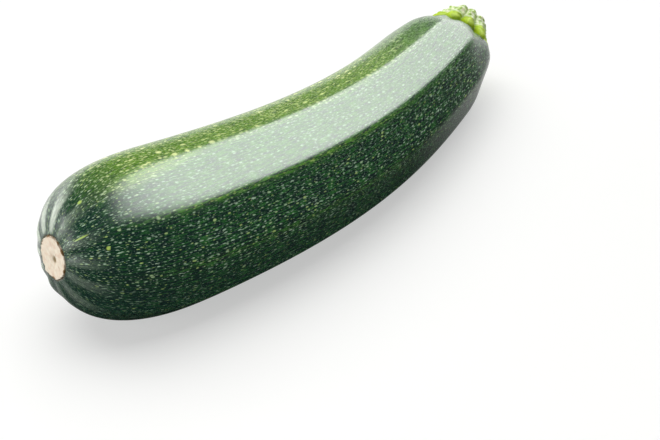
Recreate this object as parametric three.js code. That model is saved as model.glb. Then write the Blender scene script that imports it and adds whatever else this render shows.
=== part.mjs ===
// A zucchini lying on its flat facet: the ridged, bent fruit with its blossom scar, and the
// lobed stub of stem left on it when it was cut. The stem end is at +X, the outside of the
// bend is at -Y and the fruit rests on z = 0.
import * as THREE from 'three';

// Driving dimensions of the fruit, in millimetres and degrees
const fruitLength = 203; // blossom scar to stem seat, straight across the bend
const bow = 17.4; // how far the middle swings out of that line
const bowEase = 5.6; // takes the bend out of both ends
const ridgeRadius = 23.3; // axis to ridge, half way along
const taper = 4.4; // radius gained at the blossom end and lost at the stem end
const ridgeAngles = [82, 44, 5, -32, -69, -111, -147, -182, -214, -243, -256]; // 90 is straight up
const softRidge = 22; // ridge sharpness at the blossom end
const crispRidge = 60; // ridge sharpness along the stem half
const crispFrom = 0.55; // share of the length over which ridges sharpen
const blossomLength = 44.5; // rounded blossom end
const blossomBlunt = 2.68; // 2 would be an ellipse
const blossomLift = 3; // the tip sits this much above the axis
const blossomPitch = 7; // and looks up by this much
const shoulderLength = 29.5; // rounded shoulder under the stem
const shoulderBlunt = 1.92;
const seatLift = 1.6; // the stem seat is lifted and looks up too
const seatPitch = 18;
const restDepth = 0.4; // flattened on the facet it lies on

// Blossom scar
const scarRadius = 7;
const scarSink = 0.2; // corky disc, below the tip of the dome
const scarGroove = 0.7; // torn edge round the disc
const lipWidth = 0.8; // skin that turns in to the groove
const dimpleRadius = 1.3;
const dimpleDepth = 0.7;
const foldCount = 12; // puckers that run in to the scar
const foldDepth = 0.35;
const foldReach = 2.4; // how far they run, in scar radii

// Stem
const seatRadius = 11; // flat end of the fruit under the stem
const seatGap = 0.5;
const stemHeight = 10.6;
const stemRadius = 9.6; // to the bottom of the grooves, at the seat
const stemTopRadius = 7.4;
const toeRadius = 10.2; // the lobes swell over the shoulder
const toeHeight = 1.4;
const cutDish = 0.6; // hollow of the cut end
const faceShare = 0.8; // flat part of both end faces, as a share of their radius
const lobePairs = 6; // broad lobes, with a narrower one between each two
const lobeTurn = 30; // a broad lobe stands at this angle
const lobeGain = 0.44; // height of a broad lobe, as a share of the radius
const narrowShare = 0.85; // narrower lobe against broad
const lobeFade = 0.45; // share of the lobes lost by the cut end
const drapeHeight = 4; // part of the stem that follows the shoulder
const drapeShare = 0.5; // how closely the lobes follow its fall

// Mesh density
const fruitColumns = 60;
const blossomRings = 12;
const middleRings = 22;
const shoulderRings = 9;
const stemColumns = 80;
const stemRings = 8;

const rad = THREE.MathUtils.degToRad;
const down = rad(-90);

// Each facet lies between two ridges: the way it faces, and its distance from the axis
const facets = ridgeAngles.map((angle, i) => {
  const next = i + 1 < ridgeAngles.length ? ridgeAngles[i + 1] : ridgeAngles[0] - 360;
  return { facing: rad((angle + next) / 2), depth: Math.cos(rad((angle - next) / 2)) };
});

// Axis to skin at one angle, where the ridges stand at 1
function section(angle, crisp) {
  let sum = 0;
  for (const facet of facets) {
    const reach = Math.cos(angle - facet.facing) / facet.depth;
    if (reach > 0) sum += reach ** crisp;
  }
  return sum ** (-1 / crisp);
}

// Along the fruit, place runs from -1 at the scar to 1 at the stem seat
const bodyRadius = (place) => ridgeRadius - taper * place;

function crispAt(place) {
  const share = THREE.MathUtils.smoothstep((place + 1) / 2, 0, crispFrom);
  return THREE.MathUtils.lerp(softRidge, crispRidge, share);
}

// Point, heading and pitch of the bent axis
function axisAt(place) {
  const half = fruitLength / 2;
  const inner = bow - bowEase * place ** 2;
  const slope = (2 * place * (inner + bowEase * (1 - place ** 2))) / half;
  const nearScar = Math.max(0, 1 - (half * (1 + place)) / blossomLength) ** 2;
  const nearSeat = Math.max(0, 1 - (half * (1 - place)) / shoulderLength) ** 2;
  const height = bodyRadius(place) * section(down, crispAt(place)) - restDepth;
  const lift = blossomLift * nearScar + seatLift * nearSeat;
  return {
    point: new THREE.Vector3(half * place, -(1 - place ** 2) * inner, height + lift),
    heading: Math.atan(slope),
    pitch: rad(seatPitch * nearSeat - blossomPitch * nearScar),
  };
}

// Point round the axis and ahead of it: angle 0 is the outside of the bend, 90 is up
function around(axis, distance, angle, ahead = 0) {
  const across = distance * Math.cos(angle);
  const rise = distance * Math.sin(angle);
  const level = ahead * Math.cos(axis.pitch) - rise * Math.sin(axis.pitch);
  return new THREE.Vector3(
    axis.point.x + across * Math.sin(axis.heading) + level * Math.cos(axis.heading),
    axis.point.y - across * Math.cos(axis.heading) + level * Math.sin(axis.heading),
    axis.point.z + rise * Math.cos(axis.pitch) + ahead * Math.sin(axis.pitch),
  );
}

// A straight turned blank, each of whose points is then moved by a rule
function shaped(profile, columns, move) {
  const geometry = new THREE.LatheGeometry(profile, columns);
  const spots = geometry.attributes.position;
  for (let i = 0; i < spots.count; i++) {
    const radius = Math.hypot(spots.getX(i), spots.getZ(i));
    const angle = Math.atan2(-spots.getX(i), spots.getZ(i));
    const spot = move(radius, angle, spots.getY(i));
    spots.setXYZ(i, spot.x, spot.y, spot.z);
  }
  geometry.computeVertexNormals();
  return geometry;
}

// Fruit: distance along the axis is the blank's y
const round = (turn, blunt) => Math.sin(turn) ** (2 / blunt);
const placeOf = (along) => (2 * along) / fruitLength - 1;

function fruitProfile() {
  const lip = scarRadius + lipWidth;
  const lipTurn = Math.asin((lip / bodyRadius(-1)) ** (blossomBlunt / 2));
  const points = [
    new THREE.Vector2(0, scarSink + dimpleDepth),
    new THREE.Vector2(dimpleRadius, scarSink),
    new THREE.Vector2(scarRadius - 2 * lipWidth, scarSink),
    new THREE.Vector2(scarRadius - lipWidth, 2 * scarSink),
    new THREE.Vector2(scarRadius, scarSink + scarGroove),
  ];
  for (let i = 0; i <= blossomRings; i++) {
    const turn = THREE.MathUtils.lerp(lipTurn, Math.PI / 2, i / blossomRings);
    const along = blossomLength * (1 - round(Math.PI / 2 - turn, blossomBlunt));
    points.push(new THREE.Vector2(bodyRadius(placeOf(along)) * round(turn, blossomBlunt), along));
  }
  const middleLength = fruitLength - blossomLength - shoulderLength;
  for (let i = 1; i <= middleRings; i++) {
    const along = blossomLength + (middleLength * i) / middleRings;
    points.push(new THREE.Vector2(bodyRadius(placeOf(along)), along));
  }
  for (let i = 1; i <= shoulderRings; i++) {
    const turn = (Math.PI / 2) * (1 - i / shoulderRings);
    const along = fruitLength - shoulderLength * (1 - round(Math.PI / 2 - turn, shoulderBlunt));
    const swell = bodyRadius(placeOf(along)) - seatRadius;
    points.push(new THREE.Vector2(seatRadius + swell * round(turn, shoulderBlunt), along));
  }
  points.push(new THREE.Vector2(0, fruitLength));
  return points;
}

function fruitSpot(radius, angle, along) {
  const reach = (radius - scarRadius) / (scarRadius * (foldReach - 1));
  const folded = along < blossomLength / 2 && reach > 0 && reach < 1;
  const fold = folded ? foldDepth * Math.sin(Math.PI * reach) * Math.cos(foldCount * angle) : 0;
  const place = placeOf(along + fold);
  const spot = around(axisAt(place), radius * section(angle, crispAt(place)), angle);
  spot.z = Math.max(spot.z, 0);
  return spot;
}

// Stem: height above the fruit's flat end is the blank's y
function stemProfile() {
  const points = [
    new THREE.Vector2(0, seatGap),
    new THREE.Vector2(stemRadius * faceShare, seatGap),
    new THREE.Vector2(stemRadius, seatGap),
  ];
  for (let i = 0; i <= stemRings; i++) {
    const share = i / stemRings;
    const height = THREE.MathUtils.lerp(toeHeight, stemHeight, share);
    const waist = (1 - share) ** 2;
    points.push(new THREE.Vector2(THREE.MathUtils.lerp(stemTopRadius, toeRadius, waist), height));
  }
  points.push(new THREE.Vector2(stemTopRadius * faceShare, stemHeight - cutDish));
  points.push(new THREE.Vector2(0, stemHeight - cutDish));
  return points;
}

function lobe(angle) {
  const wave = Math.cos(lobePairs * (angle - rad(lobeTurn)));
  const size = wave > 0 ? 1 : narrowShare;
  return size * Math.sqrt(Math.abs(wave));
}

// How far the shoulder has dropped below the flat end at a distance from the axis
function shoulderDrop(distance) {
  const share = Math.max(0, distance - seatRadius) / (bodyRadius(1) - seatRadius);
  return shoulderLength * (1 - (1 - share ** shoulderBlunt) ** (1 / shoulderBlunt));
}

function stemSpot(radius, angle, height) {
  const gain = lobeGain * (1 - (lobeFade * height) / stemHeight);
  const distance = radius * (1 + gain * lobe(angle));
  const drape = drapeShare * Math.max(0, 1 - (height - seatGap) / drapeHeight);
  return around(axisAt(1), distance, angle, height - shoulderDrop(distance) * drape);
}

// Assembly, with its origin under the middle of its box
const fruit = new THREE.Mesh(
  shaped(fruitProfile(), fruitColumns, fruitSpot),
  new THREE.MeshStandardMaterial({ color: 0x24452a, roughness: 0.35, metalness: 0 }),
);
fruit.name = 'fruit';

const stem = new THREE.Mesh(
  shaped(stemProfile(), stemColumns, stemSpot),
  new THREE.MeshStandardMaterial({ color: 0x8fb43a, roughness: 0.5, metalness: 0 }),
);
stem.name = 'stem';

const zucchini = new THREE.Group();
zucchini.add(fruit, stem);
const box = new THREE.Box3().setFromObject(zucchini);
const middle = box.getCenter(new THREE.Vector3());
zucchini.position.set(-middle.x, -middle.y, -box.min.z);

export default zucchini;
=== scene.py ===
import math
import bpy
import numpy as np
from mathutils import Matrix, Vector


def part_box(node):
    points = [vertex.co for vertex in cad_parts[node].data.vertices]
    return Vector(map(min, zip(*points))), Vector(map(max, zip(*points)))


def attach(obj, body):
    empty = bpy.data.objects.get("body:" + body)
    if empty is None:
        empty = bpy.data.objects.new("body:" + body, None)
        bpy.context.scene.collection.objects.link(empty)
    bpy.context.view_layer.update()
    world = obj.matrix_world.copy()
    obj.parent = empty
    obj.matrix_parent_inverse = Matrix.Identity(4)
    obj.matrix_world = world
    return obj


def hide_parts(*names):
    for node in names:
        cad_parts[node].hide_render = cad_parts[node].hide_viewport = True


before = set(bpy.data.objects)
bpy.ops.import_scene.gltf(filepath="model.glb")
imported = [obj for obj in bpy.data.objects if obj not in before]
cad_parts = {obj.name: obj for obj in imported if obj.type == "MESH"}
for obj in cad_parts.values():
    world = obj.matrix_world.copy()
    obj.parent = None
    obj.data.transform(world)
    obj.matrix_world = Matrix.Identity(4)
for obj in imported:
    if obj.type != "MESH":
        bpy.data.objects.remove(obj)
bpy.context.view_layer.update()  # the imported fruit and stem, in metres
scene = bpy.context.scene
mm = 0.001


def hexToLinear(code):
    parts = [int(code[i:i + 2], 16) / 255 for i in (1, 3, 5)]
    return [p / 12.92 if p <= 0.04045 else ((p + 0.055) / 1.055) ** 2.4 for p in parts] + [1.0]


# Adds a node with its settings and links, and hands on one of its outputs.
# Sockets go by name or number in a dictionary, or in their own order in a list
def addNode(tree, kind, inputs=(), out=0, **settings):
    node = tree.nodes.new("ShaderNode" + kind)
    for name, value in settings.items():
        setattr(node, name, value)
    sockets = inputs.items() if isinstance(inputs, dict) else enumerate(inputs)
    for socket, value in sockets:
        if isinstance(value, bpy.types.NodeSocket):
            tree.links.new(value, node.inputs[socket])
        elif isinstance(value, str):
            node.inputs[socket].default_value = hexToLinear(value)
        else:
            node.inputs[socket].default_value = value
    return node.outputs[out] if len(node.outputs) else None


# A Mix node takes its colours at sockets 6 and 7, and gives the blend at 2
colourMix = {"data_type": "RGBA", "out": 2}


def newMaterial(name):
    made = bpy.data.materials.new(name)
    made.use_nodes = True
    made.node_tree.nodes.clear()
    return made, made.node_tree


# Material of a turned piece, and by name the shades on its mesh, its map in mm and its noise patterns
def turnedMaterial(name, shades, patterns):
    made, tree = newMaterial(name)
    tone = {shade: addNode(tree, "Attribute", out="Fac", attribute_name=shade) for shade in shades}
    tone["map"] = addNode(tree, "UVMap", uv_map="rindMap")
    for pattern, (along, across, detail) in patterns.items():
        place = addNode(tree, "Mapping", {"Vector": tone["map"], "Scale": (1 / along, 1 / across, 1)})
        tone[pattern] = addNode(tree, "TexNoise", {"Vector": place, "Scale": 1, "Detail": detail},
                                noise_dimensions="2D")
    return made, tree, tone


# Camera where the photograph was taken from, in millimetres and degrees
camera = {
    "spot": (-367.6, -292.7, 286.2),
    "azimuth": -51.98,
    "elevation": 32,
    "lens": 90,
    "sensor": 36,
    "nearest": 10,  # nothing closer is drawn
}


def placeCamera():
    data = bpy.data.cameras.new("photoCamera")
    data.lens = camera["lens"]
    data.sensor_width = camera["sensor"]
    data.clip_start = camera["nearest"] * mm
    eye = bpy.data.objects.new("photoCamera", data)
    eye.location = [value * mm for value in camera["spot"]]
    eye.rotation_euler = (math.radians(90 - camera["elevation"]), 0, math.radians(camera["azimuth"]))
    scene.collection.objects.link(eye)
    scene.camera = eye
    print("camera placed at", camera["spot"], "mm")


# Fruit in millimetres and degrees, with the solid's own sizes
fruit = {
    "length": 203,  # blossom scar to stem seat, straight across the bend
    "bow": 17.4,  # how far the middle swings out
    "bowEase": 5.6,  # takes the bend out of both ends
    "ridgeRadius": 23.3,  # axis to ridge, half way along
    "taper": 4.4,
    "ridgeAngles": (82, 44, 5, -32, -69, -111, -147, -182, -214, -243, -256),  # 90 is up
    "softRidge": 22,  # sharpness at the blossom end
    "crispRidge": 60,
    "crispFrom": 0.55,  # share of the length over which the ridges sharpen
    "blossomLength": 44.5,
    "blossomBlunt": 2.68,  # 2 would be an ellipse
    "blossomLift": 3,
    "blossomPitch": 7,
    "shoulderLength": 29.5,
    "shoulderBlunt": 1.92,
    "seatRadius": 11,
    "seatLift": 1.6,
    "seatPitch": 18,
    "restDepth": 0.4,  # flattened on the facet it lies on
    "scarRadius": 7,
    "scarSink": 0.2,
    "scarGroove": 0.7,
    "lipWidth": 0.1,
    "lips": ((0.88, 0.36), (0.94, 0)),  # skin turned in under the scar: share of its radius, extra depth
    "foldCount": 12,  # puckers that run in to the scar
    "foldDepth": 0.2,
    "foldReach": 2.4,  # in scar radii
    "foldSway": 0.8,  # in radians
    "foldWander": (1, 4, 21),  # slowest and fastest wave round, and seed
    "notchDepth": 1.1,  # dips in the shoulder at the end of each ridge, under the stem
    "notchWidth": 8,
    "notchReach": (3, 20),  # they fade out over this stretch from the seat
    "notchStart": 1.5,  # and come up over this much beyond its edge
    "swell": 1.8,  # one knuckle beside the stem is fuller
    "swellAngle": 4,
    "swellWidth": 18,
    "drawnOut": 0.4,  # the map runs this much slower toward the stem, which draws the pattern out
    "drawnOutOver": (90, 190),
    "lipMap": (-1.2, -0.6),  # where the turned-in skin lies on the map
    "columns": 288,
    "blossomRings": 90,
    "middleRings": 150,
    "shoulderRings": 50,
}

ridges = np.radians(fruit["ridgeAngles"])
nextRidges = np.append(ridges[1:], ridges[0] - 2 * math.pi)
facing = (ridges + nextRidges) / 2  # the way each facet looks
facetDepth = np.cos((ridges - nextRidges) / 2)


def smoothShare(value, low, high):
    share = np.clip((value - low) / (high - low), 0, 1)
    return share * share * (3 - 2 * share)


def bell(offset, width):
    return np.exp(-(offset / width) ** 2)


def wrapped(angle):
    return (angle + math.pi) % (2 * math.pi) - math.pi


# Axis to skin at one angle, where the ridges stand at 1
def section(angle, crisp):
    reach = np.maximum(np.cos(angle[..., None] - facing) / facetDepth, 0)
    return np.sum(reach ** crisp[..., None], axis=-1) ** (-1 / crisp)


def bodyRadius(along):
    return fruit["ridgeRadius"] - fruit["taper"] * (2 * along / fruit["length"] - 1)


def crispAt(along):
    share = smoothShare(along / fruit["length"], 0, fruit["crispFrom"])
    return fruit["softRidge"] + (fruit["crispRidge"] - fruit["softRidge"]) * share


# Bent axis: its points, its heading and its pitch
def axisAt(along):
    half = fruit["length"] / 2
    place = along / half - 1
    inner = fruit["bow"] - fruit["bowEase"] * place ** 2
    slope = 2 * place * (inner + fruit["bowEase"] * (1 - place ** 2)) / half
    nearScar = np.maximum(0, 1 - along / fruit["blossomLength"]) ** 2
    nearSeat = np.maximum(0, 1 - (fruit["length"] - along) / fruit["shoulderLength"]) ** 2
    under = section(np.full_like(along, -math.pi / 2), crispAt(along))
    height = bodyRadius(along) * under - fruit["restDepth"]
    lift = fruit["blossomLift"] * nearScar + fruit["seatLift"] * nearSeat
    pitch = np.radians(fruit["seatPitch"] * nearSeat - fruit["blossomPitch"] * nearScar)
    point = np.stack([half * place, -(1 - place ** 2) * inner, height + lift], axis=-1)
    return point, np.arctan(slope), pitch


# Points round the axis and ahead of it: angle 0 is the outside of the bend, 90 is up
def around(axis, distance, angle, ahead=0):
    point, heading, pitch = axis
    across = distance * np.cos(angle)
    rise = distance * np.sin(angle)
    level = ahead * np.cos(pitch) - rise * np.sin(pitch)
    turned = [
        across * np.sin(heading) + level * np.cos(heading),
        level * np.sin(heading) - across * np.cos(heading),
        rise * np.cos(pitch) + ahead * np.sin(pitch),
    ]
    return point + np.stack(turned, axis=-1)


def columnAngles(count):
    return -math.pi / 2 + 2 * math.pi * np.arange(count) / count  # the seam lies underneath


# Ring number and angle of every spot on a turned piece
def turnedGrid(rings, columns):
    return np.meshgrid(np.arange(rings), columnAngles(columns), indexing="ij")


# Uneven line that closes on itself, at most 1 high
def wander(angle, slowest, fastest, seed):
    draw = np.random.default_rng(seed)
    total = np.zeros_like(angle)
    for count in range(slowest, fastest + 1):
        total += draw.normal() * np.cos(count * angle + draw.uniform(0, 2 * math.pi)) / math.sqrt(count)
    return total / np.abs(total).max()


# Gentle lumps over a face: two crossed waves in radians per mm, with their shifts, and a slanting one
def lumpsAt(x, y, waves):
    crossed = np.cos(waves["x"] * x + waves["xShift"]) * np.cos(waves["y"] * y + waves["yShift"])
    return crossed + waves["slantShare"] * np.cos(waves["slantX"] * x + waves["slantY"] * y)


# Profile of the fruit as radius and distance along, from the lip of the scar to the stem seat
def fruitProfile():
    tip, tipBlunt = fruit["blossomLength"], fruit["blossomBlunt"]
    lip = fruit["scarRadius"] + fruit["lipWidth"]
    lipTurn = math.asin((lip / bodyRadius(0)) ** (tipBlunt / 2))
    turn = np.linspace(lipTurn, math.pi / 2, fruit["blossomRings"])
    tipAlong = tip * (1 - np.maximum(np.cos(turn), 0) ** (2 / tipBlunt))
    tipRadius = bodyRadius(tipAlong) * np.sin(turn) ** (2 / tipBlunt)
    shoulder, endBlunt = fruit["shoulderLength"], fruit["shoulderBlunt"]
    middle = np.linspace(tip, fruit["length"] - shoulder, fruit["middleRings"])[1:]
    turn = np.linspace(math.pi / 2, 0, fruit["shoulderRings"])[1:]
    endAlong = fruit["length"] - shoulder * (1 - np.maximum(np.cos(turn), 0) ** (2 / endBlunt))
    beyondSeat = bodyRadius(endAlong) - fruit["seatRadius"]
    endRadius = fruit["seatRadius"] + beyondSeat * np.sin(turn) ** (2 / endBlunt)
    radius = np.concatenate([tipRadius, bodyRadius(middle), endRadius])
    return radius, np.concatenate([tipAlong, middle, endAlong])


# Where the solid sits, so that what is turned here lands on it
def solidOrigin():
    radius, along = fruitProfile()
    ring, turn = turnedGrid(len(radius), fruit["columns"])
    far = along[ring]
    plain = around(axisAt(far), radius[ring] * section(turn, crispAt(far)), turn)
    low, high = (np.array(corner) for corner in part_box("fruit"))
    middle = (plain.min(axis=(0, 1)) + plain.max(axis=(0, 1))) / 2 * mm
    shift = (low + high) / 2 - middle
    return np.array([shift[0], shift[1], low[2]])


origin = solidOrigin()


# Closed mesh from rings of points, with a point to shut each end, a map of it in mm, and its shades
def turnedPiece(name, rings, mapAlong, mapRadius, shades, material):
    count, columns = rings.shape[:2]
    ends = rings[[0, -1]].mean(axis=1)
    spots = np.concatenate([rings.reshape(-1, 3), ends]) * mm + origin
    ring = np.arange(count * columns).reshape(count, columns)
    turned = np.roll(ring, -1, axis=1)
    quads = np.stack([ring[:-1], ring[1:], turned[1:], turned[:-1]], axis=-1).reshape(-1, 4)
    first = np.stack([ring[0], turned[0], np.full(columns, count * columns)], axis=-1)
    last = np.stack([turned[-1], ring[-1], np.full(columns, count * columns + 1)], axis=-1)
    mesh = bpy.data.meshes.new(name)
    mesh.from_pydata(spots.tolist(), [], quads.tolist() + first.tolist() + last.tolist())
    angle = columnAngles(columns)
    mapAround = mapRadius * np.append(angle, angle[0] + 2 * math.pi)
    corner = np.stack(np.meshgrid(mapAlong, mapAround, indexing="ij"), axis=-1)
    quadMap = np.stack([corner[:-1, :-1], corner[1:, :-1], corner[1:, 1:], corner[:-1, 1:]], axis=2)
    firstMap = np.stack([corner[0, :-1], corner[0, 1:], corner[0, :-1]], axis=1)
    lastMap = np.stack([corner[-1, 1:], corner[-1, :-1], corner[-1, 1:]], axis=1)
    flat = mesh.uv_layers.new(name="rindMap")
    flat.uv.foreach_set("vector", np.concatenate([quadMap.ravel(), firstMap.ravel(), lastMap.ravel()]))
    for shade, values in shades.items():
        closed = np.concatenate([values.ravel(), values[[0, -1]].mean(axis=1)])
        layer = mesh.attributes.new(shade, "FLOAT", "POINT")
        layer.data.foreach_set("value", closed.astype(np.float32))
    mesh.shade_smooth()
    mesh.materials.append(material)
    piece = bpy.data.objects.new(name, mesh)
    scene.collection.objects.link(piece)
    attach(piece, "root")
    print(name, len(mesh.polygons), "faces")
    return piece


# Waxy rind: the skin of a fresh zucchini is thin and smooth under a natural wax, so it mirrors the
# lights in long bands, and pale air-filled flecks lie just under it in rows from end to end.
# Each cover, gate, sway or draw is the span of noise that it starts from and what that becomes
rind = {
    "deepGreen": "#0B2924",
    "washes": (  # broken up by the dashes, over the deep green, each on its own side
        {"side": "dashSide", "colour": "#306E2F", "cover": (0.48, 0.65, 0, 0.9)},
        # the mid-green on top and the olive on the upper back are partly the skin's own paler tone and
        # partly painted light from above
        {"side": "topToneAndLight", "colour": "#3B6A2C", "cover": (0.4, 0.6, 0.2, 1)},
        {"side": "oliveToneAndLight", "colour": "#648C2C", "cover": (0.38, 0.58, 0.3, 1)},
        # bands under the ridges: partly the skin's own paler tone, partly painted light
        {"side": "ridgeNear", "colour": "#508A2C", "cover": (0.44, 0.56, 0, 0.95)},
    ),
    # pale streaks on the puckers by the scar: partly the skin's own pale tone, partly a painted
    # reflection
    "foldSheenWash": {"side": "foldPaleAndSheen", "colour": "#CBD5C4", "cover": (0.35, 0.6, 0.5, 0.9)},
    "paleFleck": "#AECBAE",
    "goldFleck": "#B4D062",
    "oliveFleck": "#D8E49C",
    "tornEdge": "#5E4A22",
    "tornCover": (0.36, 0.56, 0, 0.9),
    "patterns": {  # size along and around in mm, and detail
        "dash": (4.2, 0.4, 2),
        "patch": (40, 14, 2),
        "rows": (22, 1.6, 1),  # longer and shorter stretches of each row of flecks
        "grain": (1.0, 0.45, 2),  # drawn coarser than the real skin cells, so that it shows
    },
    "rowGate": (0.34, 0.58, 0.5, 1),
    "rowSway": (0.25, 0.75, -1.2, 1.2),  # rows stray by this many mm
    "fleckStray": 0.35,
    "fleckEdge": 0.05,
    "goldDraw": (0.6, 0.95, 0, 0.8),
    "topFlecks": 0.6,  # cover of the flecks that is left on top, on the olive side and underneath, where the loss is painted shade
    "oliveFlecks": 0.75,
    "lowFleckShade": 0.35,
    "markCover": (0.6, 1.3, 0.9, 0),
    "grainDepth": 0.036,
    "roughness": (0.2, 0.32),  # from the lows of the grain to its highs
    "grainSpan": (0.3, 0.7),
    "ior": 1.45,
}
# Each kind of fleck: the length it has to itself and the pitch of its rows in mm, its largest half
# width and its least as shares, the share of places left empty, how far it hides the green, and its side
fleckKinds = (
    {"cell": (1.7, 0.62), "share": 0.28, "least": 0, "empty": 0.25, "cover": 0.5, "side": "fleckSide"},
    {"cell": (2.7, 1.05), "share": 0.235, "least": 0.25, "empty": 0, "cover": 0.85, "side": "fleckSide"},
    {"cell": (5.5, 3.2), "share": 0.1, "least": 0, "empty": 0.4, "cover": 0.95, "side": "fleckSide"},
    {"cell": (4.4, 3.0), "share": 0.19, "least": 0, "empty": 0.15, "cover": 0.95, "side": "oliveToneAndLight"},
)
# Three larger marks near the blossom end: run along the skin, half length and half width in mm
marks = (
    {"run": 15.5, "angle": 29.5, "long": 0.6, "wide": 0.7},
    {"run": 8.3, "angle": 46.8, "long": 2.4, "wide": 0.4},
    {"run": 13.8, "angle": 80, "long": 0.8, "wide": 0.6},
)


def waxyRind(shades):
    made, tree, tone = turnedMaterial("waxyZucchiniRind", shades, rind["patterns"])

    def washed(under, wash):
        cover = addNode(tree, "MapRange", [tone["dash"], *wash["cover"]])
        share = addNode(tree, "Math", [tone[wash["side"]], cover], operation="MULTIPLY")
        return addNode(tree, "Mix", {0: share, 6: under, 7: wash["colour"]}, **colourMix)

    colour = rind["deepGreen"]
    for wash in rind["washes"]:
        colour = washed(colour, wash)
    # flecks lie in rows that sway, and are fainter on top, and fainter underneath as painted shade
    rowGate = addNode(tree, "MapRange", [tone["rows"], *rind["rowGate"]])
    sway = addNode(tree, "MapRange", [tone["patch"], *rind["rowSway"]])
    swayed = addNode(tree, "CombineXYZ", {"Y": sway})
    swayed = addNode(tree, "VectorMath", [tone["map"], swayed], operation="ADD")
    # fuller flecks on the olive side add to its painted light, and fainter ones underneath are painted
    # shade
    onTop = addNode(tree, "MapRange", [tone["topToneAndLight"], 0, 1, 1, rind["topFlecks"]])
    onOlive = addNode(tree, "MapRange", [tone["oliveToneAndLight"], 0, 1, 0, rind["oliveFlecks"]])
    onLow = addNode(tree, "MapRange", [tone["lowShade"], 0, 1, 1, rind["lowFleckShade"]])
    aloft = addNode(tree, "Math", [onTop, onOlive], operation="MAXIMUM")
    tone["fleckSide"] = addNode(tree, "Math", [aloft, onLow], operation="MULTIPLY")
    notTop = addNode(tree, "MapRange", [tone["topToneAndLight"], 0, 1, 1, 0])
    stray, soft = rind["fleckStray"], rind["fleckEdge"]
    for kind in fleckKinds:
        long, wide = kind["cell"]
        cell = addNode(tree, "Mapping", {"Vector": swayed, "Scale": (1 / long, 1 / wide, 1)})
        place = addNode(tree, "SeparateXYZ", [cell]).node.outputs
        # every row slides by its own amount, so that the flecks don't line up across
        row = addNode(tree, "Math", [place["Y"]], operation="FLOOR")
        slide = addNode(tree, "TexWhiteNoise", {"W": row}, "Value", noise_dimensions="1D")
        slid = addNode(tree, "Math", [place["X"], slide], operation="ADD")
        rowSpot = addNode(tree, "CombineXYZ", [slid, place["Y"]])
        cells = addNode(tree, "TexVoronoi", {"Vector": rowSpot, "Scale": 1, "Randomness": stray},
                        voronoi_dimensions="2D").node.outputs
        draw = addNode(tree, "SeparateColor", [cells["Color"]]).node.outputs
        least = kind["least"] * kind["share"]
        size = addNode(tree, "MapRange", [draw["Red"], kind["empty"], 1, least, kind["share"]])
        for gain in (rowGate, tone["fleckSize"]):
            size = addNode(tree, "Math", [size, gain], operation="MULTIPLY")
        inside = addNode(tree, "Math", [size, cells["Distance"]], operation="SUBTRACT")
        mask = addNode(tree, "MapRange", [inside, -soft, soft, 0, kind["cover"]])
        mask = addNode(tree, "Math", [mask, tone[kind["side"]]], operation="MULTIPLY")
        gold = addNode(tree, "MapRange", [draw["Green"], *rind["goldDraw"]])
        gold = addNode(tree, "Math", [gold, notTop], operation="MULTIPLY")
        # the ridge bands, partly painted light, also turn their flecks gold
        gold = addNode(tree, "Math", [gold, tone["ridgeNear"]], operation="MAXIMUM")
        fleck = addNode(tree, "Mix", {0: gold, 6: rind["paleFleck"], 7: rind["goldFleck"]}, **colourMix)
        fleck = addNode(tree, "Mix", {0: tone["oliveToneAndLight"], 6: fleck, 7: rind["oliveFleck"]}, **colourMix)
        colour = addNode(tree, "Mix", {0: mask, 6: colour, 7: fleck}, **colourMix)
    for mark in marks:
        across = fruit["ridgeRadius"] * math.radians(mark["angle"])
        centre = (-mark["run"] / mark["long"], -across / mark["wide"], 0)
        scale = (1 / mark["long"], 1 / mark["wide"], 0)
        fromMark = addNode(tree, "Mapping", {"Vector": tone["map"], "Location": centre, "Scale": scale})
        off = addNode(tree, "VectorMath", [fromMark], "Value", operation="LENGTH")
        share = addNode(tree, "MapRange", [off, *rind["markCover"]])
        colour = addNode(tree, "Mix", {0: share, 6: colour, 7: rind["goldFleck"]}, **colourMix)
    # pale streaks on the puckers: partly pale skin, partly a painted reflection
    colour = washed(colour, rind["foldSheenWash"])
    torn = addNode(tree, "Math", [tone["tornEdge"], tone["dash"]], operation="MULTIPLY")
    torn = addNode(tree, "MapRange", [torn, *rind["tornCover"]])
    colour = addNode(tree, "Mix", {0: torn, 6: colour, 7: rind["tornEdge"]}, **colourMix)
    normal = addNode(tree, "Bump", {"Height": tone["grain"], "Distance": rind["grainDepth"] * mm,
                                    "Strength": 1})
    rough = addNode(tree, "MapRange", [tone["grain"], *rind["grainSpan"], *rind["roughness"]])
    skin = addNode(tree, "BsdfPrincipled", {"Base Color": colour, "Roughness": rough, "IOR": rind["ior"],
                                            "Normal": normal})
    addNode(tree, "OutputMaterial", {"Surface": skin})
    return made


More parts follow.
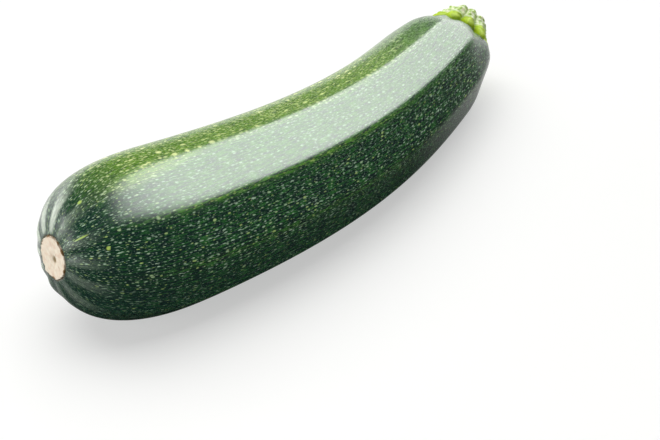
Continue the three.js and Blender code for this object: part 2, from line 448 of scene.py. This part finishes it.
# Where the tones of the rind lie, some of them painted light and shade: stretches along the fruit
# in mm from the scar, angles in degrees, and heights as sines of the angle
tones = {
    # the olive side, with its spill over the ridge by the blossom end, is partly the skin's own tone and
    # partly painted light from above
    "oliveRise": (76, 87),
    "oliveFall": (120, 155),
    "oliveStart": (1, 28),
    "oliveEnd": (120, 190),
    "oliveLoss": 0.75,  # share of it lost by the stem
    "spill": 12,  # near the blossom end the olive comes over the ridge by this much
    "spillEnd": (15, 60),
    "ridgeGlow": (0.1, 1, 0.4, 0.15, 0.1, 0.1, 0.15, 0.4, 0.5, 0.2, 0),  # brighter under each ridge: partly the skin's own paler band, partly painted light
    "ridgeBand": 0.85,  # its half width in mm
    "ridgeUnder": 2.5,
    "ridgeStart": (8, 40),
    "ridgeEnd": (100, 150),
    "ridgeLoss": 0.75,  # share of that lost by the stem
    "lowHeight": (-0.4, 0.3),
    "topHeight": (0.55, 0.8),
    "topStart": (4, 45),
    "dashStart": (5, 45),
    "dashLeast": 0.4,
    # painted shade: share of the dashes lost underneath
    "dashLowShade": 0.4,
    # bigger flecks on the olive side are part of its painted light
    "fleckOliveGain": 0.4,
    "fleckStemGain": 0.15,
    "fleckStem": (120, 180),
    "foldFacing": 155,  # the pale streaks on the puckers, partly a painted reflection, are strongest on the side that looks this way
    "foldSpread": (0, 0.7),
    "foldLeast": 0.15,
    "foldCrest": (-0.4, 0.7),
    "foldInner": (7, 9),  # distance from the axis in mm
    "foldOuter": (13, 22),
    "tornWidth": 0.7,
}


def rindTones(wide, far, turn, fold):
    degrees = np.degrees(turn)
    spill = tones["spill"] * (1 - smoothShare(far, *tones["spillEnd"]))
    # olive and top sides: partly the skin's own paler tone, partly painted light on the upper side
    olive = smoothShare(degrees + spill, *tones["oliveRise"])
    olive = olive * (1 - smoothShare(degrees, *tones["oliveFall"]))
    olive = olive * smoothShare(far, *tones["oliveStart"])
    olive = olive * (1 - tones["oliveLoss"] * smoothShare(far, *tones["oliveEnd"]))
    # bands under the ridges, strongest under the upper ones: partly the skin's tone, partly painted light
    ridgeNear = np.zeros_like(turn)
    for ridge, strength in zip(ridges, tones["ridgeGlow"]):
        under = ridge - math.copysign(math.radians(tones["ridgeUnder"]), math.cos(ridge))
        ridgeNear += strength * bell(wrapped(turn - under) * wide, tones["ridgeBand"])
    ridgeNear = ridgeNear * smoothShare(far, *tones["ridgeStart"])
    # the underside, darkened as painted shade with fewer dashes and flecks
    low = 1 - smoothShare(np.sin(turn), *tones["lowHeight"])
    dashes = tones["dashLeast"] + (1 - tones["dashLeast"]) * smoothShare(far, *tones["dashStart"])
    towardStem = smoothShare(far, *tones["fleckStem"])
    backward = smoothShare(np.cos(turn - math.radians(tones["foldFacing"])), *tones["foldSpread"])
    ringed = smoothShare(wide, *tones["foldInner"]) * (1 - smoothShare(wide, *tones["foldOuter"]))
    ringed = ringed * (far < fruit["blossomLength"] / 2)
    pale = tones["foldLeast"] + (1 - tones["foldLeast"]) * backward
    return {
        "ridgeNear": ridgeNear * (1 - tones["ridgeLoss"] * smoothShare(far, *tones["ridgeEnd"])),
        "dashSide": (1 - tones["dashLowShade"] * low) * dashes,
        "lowShade": low,
        "fleckSize": (1 + tones["fleckOliveGain"] * olive) * (1 + tones["fleckStemGain"] * towardStem),
        "oliveToneAndLight": olive,
        "topToneAndLight": smoothShare(np.sin(turn), *tones["topHeight"]) * smoothShare(far, *tones["topStart"]),
        "foldPaleAndSheen": ringed * pale * smoothShare(-fold, *tones["foldCrest"]),
        "tornEdge": 1 - smoothShare(wide, fruit["scarRadius"], fruit["scarRadius"] + tones["tornWidth"]),
    }


def makeRind():
    radius, along = fruitProfile()
    ring, turn = turnedGrid(len(radius), fruit["columns"])
    wide, far = radius[ring], along[ring]
    # folds run in to the scar
    reach = np.clip((wide / fruit["scarRadius"] - 1) / (fruit["foldReach"] - 1), 0, 1)
    reach = reach * (far < fruit["blossomLength"] / 2)
    fold = np.cos(fruit["foldCount"] * turn + fruit["foldSway"] * wander(turn, *fruit["foldWander"]))
    far = far + fruit["foldDepth"] * np.sin(math.pi * reach) * fold
    # the shoulder dips between knuckles of flesh round the stem, as much inward as back from it
    gap = np.min(np.abs(wrapped(turn[..., None] - ridges)), axis=-1)
    notch = fruit["notchDepth"] * bell(gap, math.radians(fruit["notchWidth"]))
    notch = notch - fruit["swell"] * bell(np.degrees(turn) - fruit["swellAngle"], fruit["swellWidth"])
    notch = notch * (1 - smoothShare(fruit["length"] - far, *fruit["notchReach"]))
    notch = notch * smoothShare(wide, fruit["seatRadius"], fruit["seatRadius"] + fruit["notchStart"])
    notch = notch * math.sqrt(0.5)
    rings = around(axisAt(far), wide * section(turn, crispAt(far)) - notch, turn, -notch)
    # the lip turns in under the scar
    angle = columnAngles(fruit["columns"])
    groove = np.full(fruit["columns"], fruit["scarSink"] + fruit["scarGroove"])
    scarEdge = fruit["scarRadius"] * section(angle, crispAt(groove))
    lips = [around(axisAt(groove + deeper), share * scarEdge, angle) for share, deeper in fruit["lips"]]
    rings = np.concatenate([np.stack(lips), rings])
    rings[..., 2] = np.maximum(rings[..., 2], 0)
    lipRows = ((len(lips), 0), (0, 0))
    shades = rindTones(wide, far, turn, fold)
    shades = {name: np.pad(values, lipRows, mode="edge") for name, values in shades.items()}
    slower = 1 - fruit["drawnOut"] * smoothShare(along[1:], *fruit["drawnOutOver"])
    run = np.cumsum(np.append(0, np.hypot(np.diff(radius), np.diff(along)) * slower))
    mapAlong = np.append(fruit["lipMap"], run)
    piece = turnedPiece("zucchiniRind", rings, mapAlong, fruit["ridgeRadius"], shades, waxyRind(shades))
    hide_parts("fruit")


# Blossom scar in millimetres: where the flower dropped off, a corky disc with a torn edge
scar = {
    "reach": 0.95,  # of the scar's radius on the fruit
    "ragged": 0.035,  # how uneven the edge is, as a share of the radius
    "raggedWander": (3, 40, 11),  # slowest and fastest wave round, and seed
    "edgeRoll": 0.25,
    "rollWander": (2, 24, 12),
    "rollFrom": (0.75, 1),  # shares of the radius over which the edge rolls up
    "dimpleRadius": 1.3,
    "dimpleDepth": 0.7,
    "dimpleShift": (0.5, -0.3),
    "dimpleShade": (0.25, 0.9),
    "dimpleDark": 0.85,
    "unevenness": 0.08,
    "waves": {
        "x": 1.9, "xShift": 0.7,
        "y": 1.6, "yShift": -0.4,
        "slantX": 2.9, "slantY": 3.7, "slantShare": 0.6,
    },
    "thickness": 1.0,
    "edgeShade": (0.8, 1),
    "edgeMap": 0.15,  # width of the edge on the map, as a share of the radius
    "mapReach": 0.6,  # the map is true to size at this share of it
    "columns": 180,
    "smallest": 0.02,  # innermost ring, as a share of the radius
    "rings": 48,
    "edgeRings": 8,
    "backRings": (0.9, 0.3),
}


# Dried cork: the scar is dead, dull and pale, with soft pinkish blotches, fine fibres that run out
# from the middle, and brown where the tissue tore
cork = {
    "pale": "#E4D9C6",
    "blotch": "#DBC6B0",
    "brown": "#7A5C34",
    "dimple": "#7A6430",
    "patterns": {  # size out and around in mm, and detail
        "blotches": (1.8, 1.8, 3),
        "fibre": (3.2, 0.35, 2),
    },
    "blotchCover": (0.4, 0.7),
    "tornCover": (0.42, 0.6),
    "fibreDepth": 0.12,
    "fibreStrength": 0.7,
    "roughness": 0.8,
    "ior": 1.4,
}


def driedCork(shades):
    made, tree, tone = turnedMaterial("driedScarCork", shades, cork["patterns"])
    blotched = addNode(tree, "MapRange", [tone["blotches"], *cork["blotchCover"]])
    torn = addNode(tree, "Math", [tone["edge"], tone["blotches"]], operation="MULTIPLY")
    torn = addNode(tree, "MapRange", [torn, *cork["tornCover"]])
    colour = cork["pale"]
    for share, over in ((blotched, "blotch"), (torn, "brown"), (tone["dimple"], "dimple")):
        colour = addNode(tree, "Mix", {0: share, 6: colour, 7: cork[over]}, **colourMix)
    normal = addNode(tree, "Bump", {"Height": tone["fibre"], "Distance": cork["fibreDepth"] * mm,
                                    "Strength": cork["fibreStrength"]})
    skin = addNode(tree, "BsdfPrincipled", {"Base Color": colour, "Roughness": cork["roughness"],
                                            "IOR": cork["ior"], "Normal": normal})
    addNode(tree, "OutputMaterial", {"Surface": skin})
    return made


def makeScar():
    angle = columnAngles(scar["columns"])
    ragged = 1 + scar["ragged"] * wander(angle, *scar["raggedWander"])
    edge = scar["reach"] * fruit["scarRadius"] * ragged
    roll = scar["edgeRoll"] * wander(angle, *scar["rollWander"])
    # rings run out over the disc, down its edge and in again behind it
    disc = np.linspace(scar["smallest"], 1, scar["rings"])
    share = np.concatenate([disc, np.ones(scar["edgeRings"]), scar["backRings"]])
    drop = np.linspace(0, 1, scar["edgeRings"] + 1)[1:]
    drop = np.concatenate([np.zeros(scar["rings"]), drop, np.ones(len(scar["backRings"]))])
    ring, turn = turnedGrid(len(share), scar["columns"])
    wide = share[ring] * edge
    x, y = wide * np.cos(turn), wide * np.sin(turn)
    onDisc = drop[ring] == 0
    fromDimple = np.hypot(x - scar["dimpleShift"][0], y - scar["dimpleShift"][1])
    dimple = bell(fromDimple, scar["dimpleRadius"]) * onDisc
    far = fruit["scarSink"] + scar["dimpleDepth"] * dimple
    far = far + scar["unevenness"] * lumpsAt(x, y, scar["waves"]) * onDisc
    far = far + drop[ring] * scar["thickness"]
    far = far - roll * smoothShare(share[ring], *scar["rollFrom"]) * (1 - drop[ring])
    rings = around(axisAt(far), wide * section(turn, crispAt(far)), turn)
    shades = {
        "edge": smoothShare(share[ring], *scar["edgeShade"]),
        "dimple": smoothShare(dimple, *scar["dimpleShade"]) * scar["dimpleDark"],
    }
    steps = np.abs(np.diff(share)) + np.diff(drop) * scar["edgeMap"]
    mapAlong = fruit["scarRadius"] * np.cumsum(np.append(0, steps))
    mapRadius = scar["mapReach"] * fruit["scarRadius"]
    piece = turnedPiece("blossomScar", rings, mapAlong, mapRadius, shades, driedCork(shades))


# Stem in millimetres and degrees
stem = {
    "height": 10.6,
    "radius": 9.6,  # to the bottom of the grooves, at the seat
    "topRadius": 7.4,
    "toeRadius": 10.2,
    "toeHeight": 1.4,
    "sunk": 0.3,
    "baseRadius": 1,  # innermost ring of its hidden base
    "cutDish": 0.6,
    "dishCurve": 4,  # higher keeps the dish flatter in the middle
    "cutRough": 0.12,  # unevenness of the cut
    "cutEdge": (0.85, 1),  # shares of the radius over which that ends
    "waves": {
        "x": 1.7, "xShift": 0.4,
        "y": 1.5, "yShift": -0.8,
        "slantX": 3.1, "slantY": -2.6, "slantShare": 0.6,
    },
    "strands": 10,  # tough strands that stand in a ring in the cut
    "strandReach": 0.7,  # their place, as a share of the radius
    "strandSize": 0.07,
    "strandGap": (0.2, 0.9),
    "lobePairs": 6,
    "lobeTurn": 30,
    "lobeGain": 0.44,
    "narrowShare": 0.85,
    "lobeFade": 0.45,
    "worn": 1.0,  # the lobes that lie underneath are worn away
    "wornAngle": -42,
    "wornWidth": 32,
    "knobs": 0.045,  # small lumps, as a share of the radius
    "knobCounts": (11, 5),  # two crossed waves of them round the stem
    "knobSlants": (2.1, -1.3),  # and their turn in radians per mm up it
    "drapeHeight": 4,
    "drapeShare": 1.0,
    "footLine": (3.2, 5.2),  # height at which the lime feet turn pale
    "footSway": 0.8,
    "footWander": (3, 20, 31),  # slowest and fastest wave round, and seed
    "rimShade": (0.8, 0.95),
    "grooveShade": (0, 0.5),
    "paintedGrooveShade": 0.8,
    "columns": 320,
    "sideRings": 60,
    "faceRings": 24,
    "smallest": 0.02,
}


def lobeAt(angle):
    wave = np.cos(stem["lobePairs"] * (angle - math.radians(stem["lobeTurn"])))
    return np.where(wave > 0, 1, stem["narrowShare"]) * np.sqrt(np.abs(wave))


# How far the shoulder has dropped below the seat at a distance from the axis
def shoulderDrop(distance):
    blunt, seat = fruit["shoulderBlunt"], fruit["seatRadius"]
    share = np.maximum(0, distance - seat) / (bodyRadius(fruit["length"]) - seat)
    return fruit["shoulderLength"] * (1 - (1 - share ** blunt) ** (1 / blunt))


def stemSpots(radius, angle, height):
    under = np.degrees(wrapped(angle - math.radians(stem["wornAngle"])))
    left = 1 - stem["worn"] * bell(under, stem["wornWidth"])
    gain = stem["lobeGain"] * left * (1 - stem["lobeFade"] * height / stem["height"])
    distance = radius * (1 + gain * lobeAt(angle))
    knob = stem["knobs"] * smoothShare(height, stem["toeHeight"], 2 * stem["toeHeight"])
    for count, slant in zip(stem["knobCounts"], stem["knobSlants"]):
        knob = knob * np.cos(count * angle + slant * height)
    distance = distance * (1 + knob)
    drape = stem["drapeShare"] * np.maximum(0, 1 - height / stem["drapeHeight"])
    seat = axisAt(np.full_like(radius, float(fruit["length"])))
    return around(seat, distance, angle, height - shoulderDrop(distance) * drape)


# Ribbed stem: a tough green stalk with swollen feet, smooth and lightly hairy, lime at the feet where
# it meets the fruit and paler, with green specks, up to the cut, which has dried
stalk = {
    "foot": "#9CB800",
    "upper": "#DBE2BE",
    # painted shade: a darker green in the grooves between the lobes
    "groove": "#7A9410",
    "speck": "#8CB038",
    "pith": "#D3D79A",
    "dryPith": "#B9B274",
    "cutRim": "#9DB53C",
    "strand": "#8B9E3C",
    "patterns": {  # size up and around in mm, and detail
        "mottle": (1.3, 1.3, 3),
        "fibre": (6, 0.5, 2),
    },
    "speckCover": (0.44, 0.6, 0, 0.9),
    "dryCover": (0.42, 0.62),
    "fibreDepth": 0.3,
    "fibreStrength": 0.8,
    "roughness": 0.6,
    "ior": 1.4,
    "specular": 0.25,
    "glowThrough": 0.15,
    "glowReach": (0.6, 1, 0.2),  # in mm, for red, green and blue
}


def ribbedStalk(shades):
    made, tree, tone = turnedMaterial("ribbedStemRind", shades, stalk["patterns"])
    speck = addNode(tree, "MapRange", [tone["mottle"], *stalk["speckCover"]])
    speck = addNode(tree, "Math", [speck, tone["upward"]], operation="MULTIPLY")
    dry = addNode(tree, "MapRange", [tone["mottle"], *stalk["dryCover"]])
    side = stalk["foot"]
    for share, over in ((tone["upward"], "upper"), (tone["groove"], "groove"), (speck, "speck")):
        side = addNode(tree, "Mix", {0: share, 6: side, 7: stalk[over]}, **colourMix)
    cut = stalk["pith"]
    for share, over in ((dry, "dryPith"), (tone["cutRim"], "cutRim"), (tone["strand"], "strand")):
        cut = addNode(tree, "Mix", {0: share, 6: cut, 7: stalk[over]}, **colourMix)
    colour = addNode(tree, "Mix", {0: tone["cutFace"], 6: side, 7: cut}, **colourMix)
    normal = addNode(tree, "Bump", {"Height": tone["fibre"], "Distance": stalk["fibreDepth"] * mm,
                                    "Strength": stalk["fibreStrength"]})
    skin = addNode(tree, "BsdfPrincipled", {
        "Base Color": colour,
        "Roughness": stalk["roughness"],
        "IOR": stalk["ior"],
        "Specular IOR Level": stalk["specular"],
        "Subsurface Weight": stalk["glowThrough"],
        "Subsurface Radius": stalk["glowReach"],
        "Subsurface Scale": mm,
        "Normal": normal,
    })
    addNode(tree, "OutputMaterial", {"Surface": skin})
    return made


def makeStem():
    share = np.linspace(0, 1, stem["sideRings"])
    side = stem["toeHeight"] + (stem["height"] - stem["toeHeight"]) * share
    sideRadius = stem["topRadius"] + (stem["toeRadius"] - stem["topRadius"]) * (1 - share) ** 2
    faceShare = np.linspace(1, stem["smallest"], stem["faceRings"])[1:]
    face = stem["height"] - stem["cutDish"] * (1 - faceShare ** stem["dishCurve"])
    base = np.array([stem["baseRadius"], stem["radius"]])
    height = np.concatenate([np.full(len(base), -stem["sunk"]), side, face])
    radius = np.concatenate([base, sideRadius, stem["topRadius"] * faceShare])
    ring, turn = turnedGrid(len(height), stem["columns"])
    # the cut is a little rough, with a ring of strands
    faceStart = len(base) + len(side)
    reach = np.concatenate([np.ones(faceStart), faceShare])[ring]
    strand = bell(reach - stem["strandReach"], stem["strandSize"])
    strand = strand * smoothShare(np.cos(stem["strands"] * turn), *stem["strandGap"])
    lumps = lumpsAt(radius[ring] * np.cos(turn), radius[ring] * np.sin(turn), stem["waves"]) + strand
    rough = stem["cutRough"] * lumps * (1 - smoothShare(reach, *stem["cutEdge"]))
    rings = stemSpots(radius[ring], turn, height[ring] + rough)
    footSway = stem["footSway"] * wander(turn, *stem["footWander"])
    shades = {
        "upward": smoothShare(height[ring] + footSway, *stem["footLine"]),
        "cutFace": 1.0 * (ring > faceStart),
        "cutRim": smoothShare(reach, *stem["rimShade"]),
        "strand": strand,
        # the grooves between the lobes are darkened as painted shade
        "groove": (1 - smoothShare(lobeAt(turn), *stem["grooveShade"])) * stem["paintedGrooveShade"],
    }
    mapAlong = np.cumsum(np.append(0, np.hypot(np.diff(height), np.diff(radius))))
    piece = turnedPiece("stemStub", rings, mapAlong, stem["radius"], shades, ribbedStalk(shades))
    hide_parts("stem")


# Floor and light, in metres and degrees
studio = {
    "floorSize": 12,
    "floor": "#B4B4B2",
    "floorRough": 0.9,
    "greyCard": "#454440",
    "cardSlant": 0.25,  # its far edge falls by this much for each metre along X
    "cardSlantEnd": 0.13,  # and runs straight on from here
    "cardEdge": (-0.018, 0.042),  # along Y, where it goes over to white
    "lift": 0.5,  # glow of the white part, which keeps its shadow light
    "panelHeight": 0.7,  # long soft box overhead, which only shows in the gloss
    "panelTurn": 13,  # it points this much to the right of where the camera looks
    "panelAside": (-0.03, 0.95),  # reach to its right and along it from above the object
    "panelAway": (-0.56, 2.84),
    "panelShine": 41,  # power per square metre
    "panelStart": (0.06, 0.85),  # it comes up over this stretch from its near end
    "panelFade": (0.83, 2.07),  # and fades over this one
    "panelEnd": 0.37,  # its far end against its near one
    "fills": (  # broad lamps that don't show in the gloss
        {"name": "ceiling", "size": 2.4, "place": (0.2, 0.4, 1.6), "power": 45},
        {"name": "leftFill", "size": 0.8, "place": (-1.1, -0.1, 0.5), "power": 3},
    ),
    "room": 0.08,
    "walls": (  # pale walls: the way to them, their spread as cosines, their top as sines
        {"way": (-0.45, 0.89, 0), "spread": (0.5, 0.85), "top": (0.33, 0.1), "bright": 4},
        {"way": (0.96, 0.27, -0.03), "spread": (0.94, 0.98), "top": (1, 0.9), "bright": 3},
        {"way": (0.72, 0.69, 0), "spread": (0.75, 0.95), "top": (0.09, 0.03), "bright": 2.2},
    ),
    "backdrop": 0.95,
}
softStep = {"interpolation_type": "SMOOTHSTEP"}


# Painted board: matt and even, white to the camera, and a grey card in the reflections of its near part
def paintedBoard():
    made, tree = newMaterial("mattPaintedBoard")
    place = addNode(tree, "SeparateXYZ", [addNode(tree, "TexCoord", out="Object")]).node.outputs
    aside = addNode(tree, "Math", [place["X"], studio["cardSlantEnd"]], operation="MINIMUM")
    behind = addNode(tree, "Math", [aside, studio["cardSlant"], place["Y"]], operation="MULTIPLY_ADD")
    white = addNode(tree, "MapRange", [behind, *studio["cardEdge"]])
    gloss = addNode(tree, "LightPath", out="Is Glossy Ray")
    plain = addNode(tree, "Math", [1, gloss], operation="SUBTRACT")
    share = addNode(tree, "Math", [white, plain], operation="MAXIMUM")
    colour = addNode(tree, "Mix", {0: share, 6: studio["greyCard"], 7: studio["floor"]}, **colourMix)
    lift = addNode(tree, "Math", [share, studio["lift"]], operation="MULTIPLY")
    paint = addNode(tree, "BsdfPrincipled", {
        "Base Color": colour,
        "Roughness": studio["floorRough"],
        "Specular IOR Level": 0,
        "Emission Color": "#FFFFFF",
        "Emission Strength": lift,
    })
    addNode(tree, "OutputMaterial", {"Surface": paint})
    return made


def makeFloor():
    half = studio["floorSize"] / 2
    corners = [(-half, -half, 0), (half, -half, 0), (half, half, 0), (-half, half, 0)]
    mesh = bpy.data.meshes.new("floor")
    mesh.from_pydata(corners, [], [range(len(corners))])
    mesh.materials.append(paintedBoard())
    floor = bpy.data.objects.new("floor", mesh)
    floor.location.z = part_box("fruit")[0].z
    scene.collection.objects.link(floor)
    print("floor laid")


def hangSoftBox():
    turn = math.radians(camera["azimuth"] - studio["panelTurn"])
    away = np.array([-math.sin(turn), math.cos(turn), 0])
    aside = np.array([math.cos(turn), math.sin(turn), 0])
    lamp = bpy.data.lights.new("softBox", "AREA")
    lamp.shape = "RECTANGLE"
    lamp.size = studio["panelAside"][1] - studio["panelAside"][0]
    lamp.size_y = studio["panelAway"][1] - studio["panelAway"][0]
    lamp.energy = studio["panelShine"] * lamp.size * lamp.size_y
    lamp.use_nodes = True
    tree = lamp.node_tree
    tree.nodes.clear()
    place = addNode(tree, "SeparateXYZ", [addNode(tree, "NewGeometry", out="Parametric")]).node.outputs
    fromEnd = addNode(tree, "Math", [place["Y"], lamp.size_y], operation="MULTIPLY")
    start = addNode(tree, "MapRange", [fromEnd, *studio["panelStart"]], **softStep)
    fade = addNode(tree, "MapRange", [fromEnd, *studio["panelFade"], 1, studio["panelEnd"]])
    strength = addNode(tree, "Math", [start, fade], operation="MULTIPLY")
    shine = addNode(tree, "Emission", {"Color": "#FFFFFF", "Strength": strength})
    addNode(tree, "OutputLight", {"Surface": shine})
    panel = bpy.data.objects.new("softBox", lamp)
    panel.location = sum(studio["panelAway"]) / 2 * away + sum(studio["panelAside"]) / 2 * aside
    panel.location.z = studio["panelHeight"]
    panel.rotation_euler.z = turn
    panel.visible_diffuse = False
    scene.collection.objects.link(panel)


def hangFills():
    for fill in studio["fills"]:
        lamp = bpy.data.lights.new(fill["name"], "AREA")
        lamp.size = fill["size"]
        lamp.energy = fill["power"]
        broad = bpy.data.objects.new(fill["name"], lamp)
        broad.location = fill["place"]
        broad.rotation_euler = (-broad.location).to_track_quat("-Z", "Y").to_euler()
        broad.visible_glossy = False
        scene.collection.objects.link(broad)


def paintRoom():
    scene.world = bpy.data.worlds.new("studioRoom")
    scene.world.use_nodes = True
    tree = scene.world.node_tree
    tree.nodes.clear()
    way = addNode(tree, "TexCoord", out="Generated")
    rise = addNode(tree, "SeparateXYZ", [way], "Z")
    total = studio["room"]
    for wall in studio["walls"]:
        near = addNode(tree, "VectorMath", [way, wall["way"]], "Value", operation="DOT_PRODUCT")
        lit = addNode(tree, "MapRange", [near, *wall["spread"], 0, wall["bright"]], **softStep)
        low = addNode(tree, "MapRange", [rise, *wall["top"]], **softStep)
        total = addNode(tree, "Math", [lit, low, total], operation="MULTIPLY_ADD")
    seen = addNode(tree, "LightPath", out="Is Camera Ray")
    glow = addNode(tree, "Mix", {0: seen, 2: total, 3: studio["backdrop"]})
    room = addNode(tree, "Background", {"Color": "#FFFFFF", "Strength": glow})
    addNode(tree, "OutputWorld", {"Surface": room})
    scene.view_settings.view_transform = "Standard"
    print("studio lit:", len(studio["fills"]), "fills and", len(studio["walls"]), "walls")


placeCamera()
makeRind()
makeScar()
makeStem()
makeFloor()
hangSoftBox()
hangFills()
paintRoom()
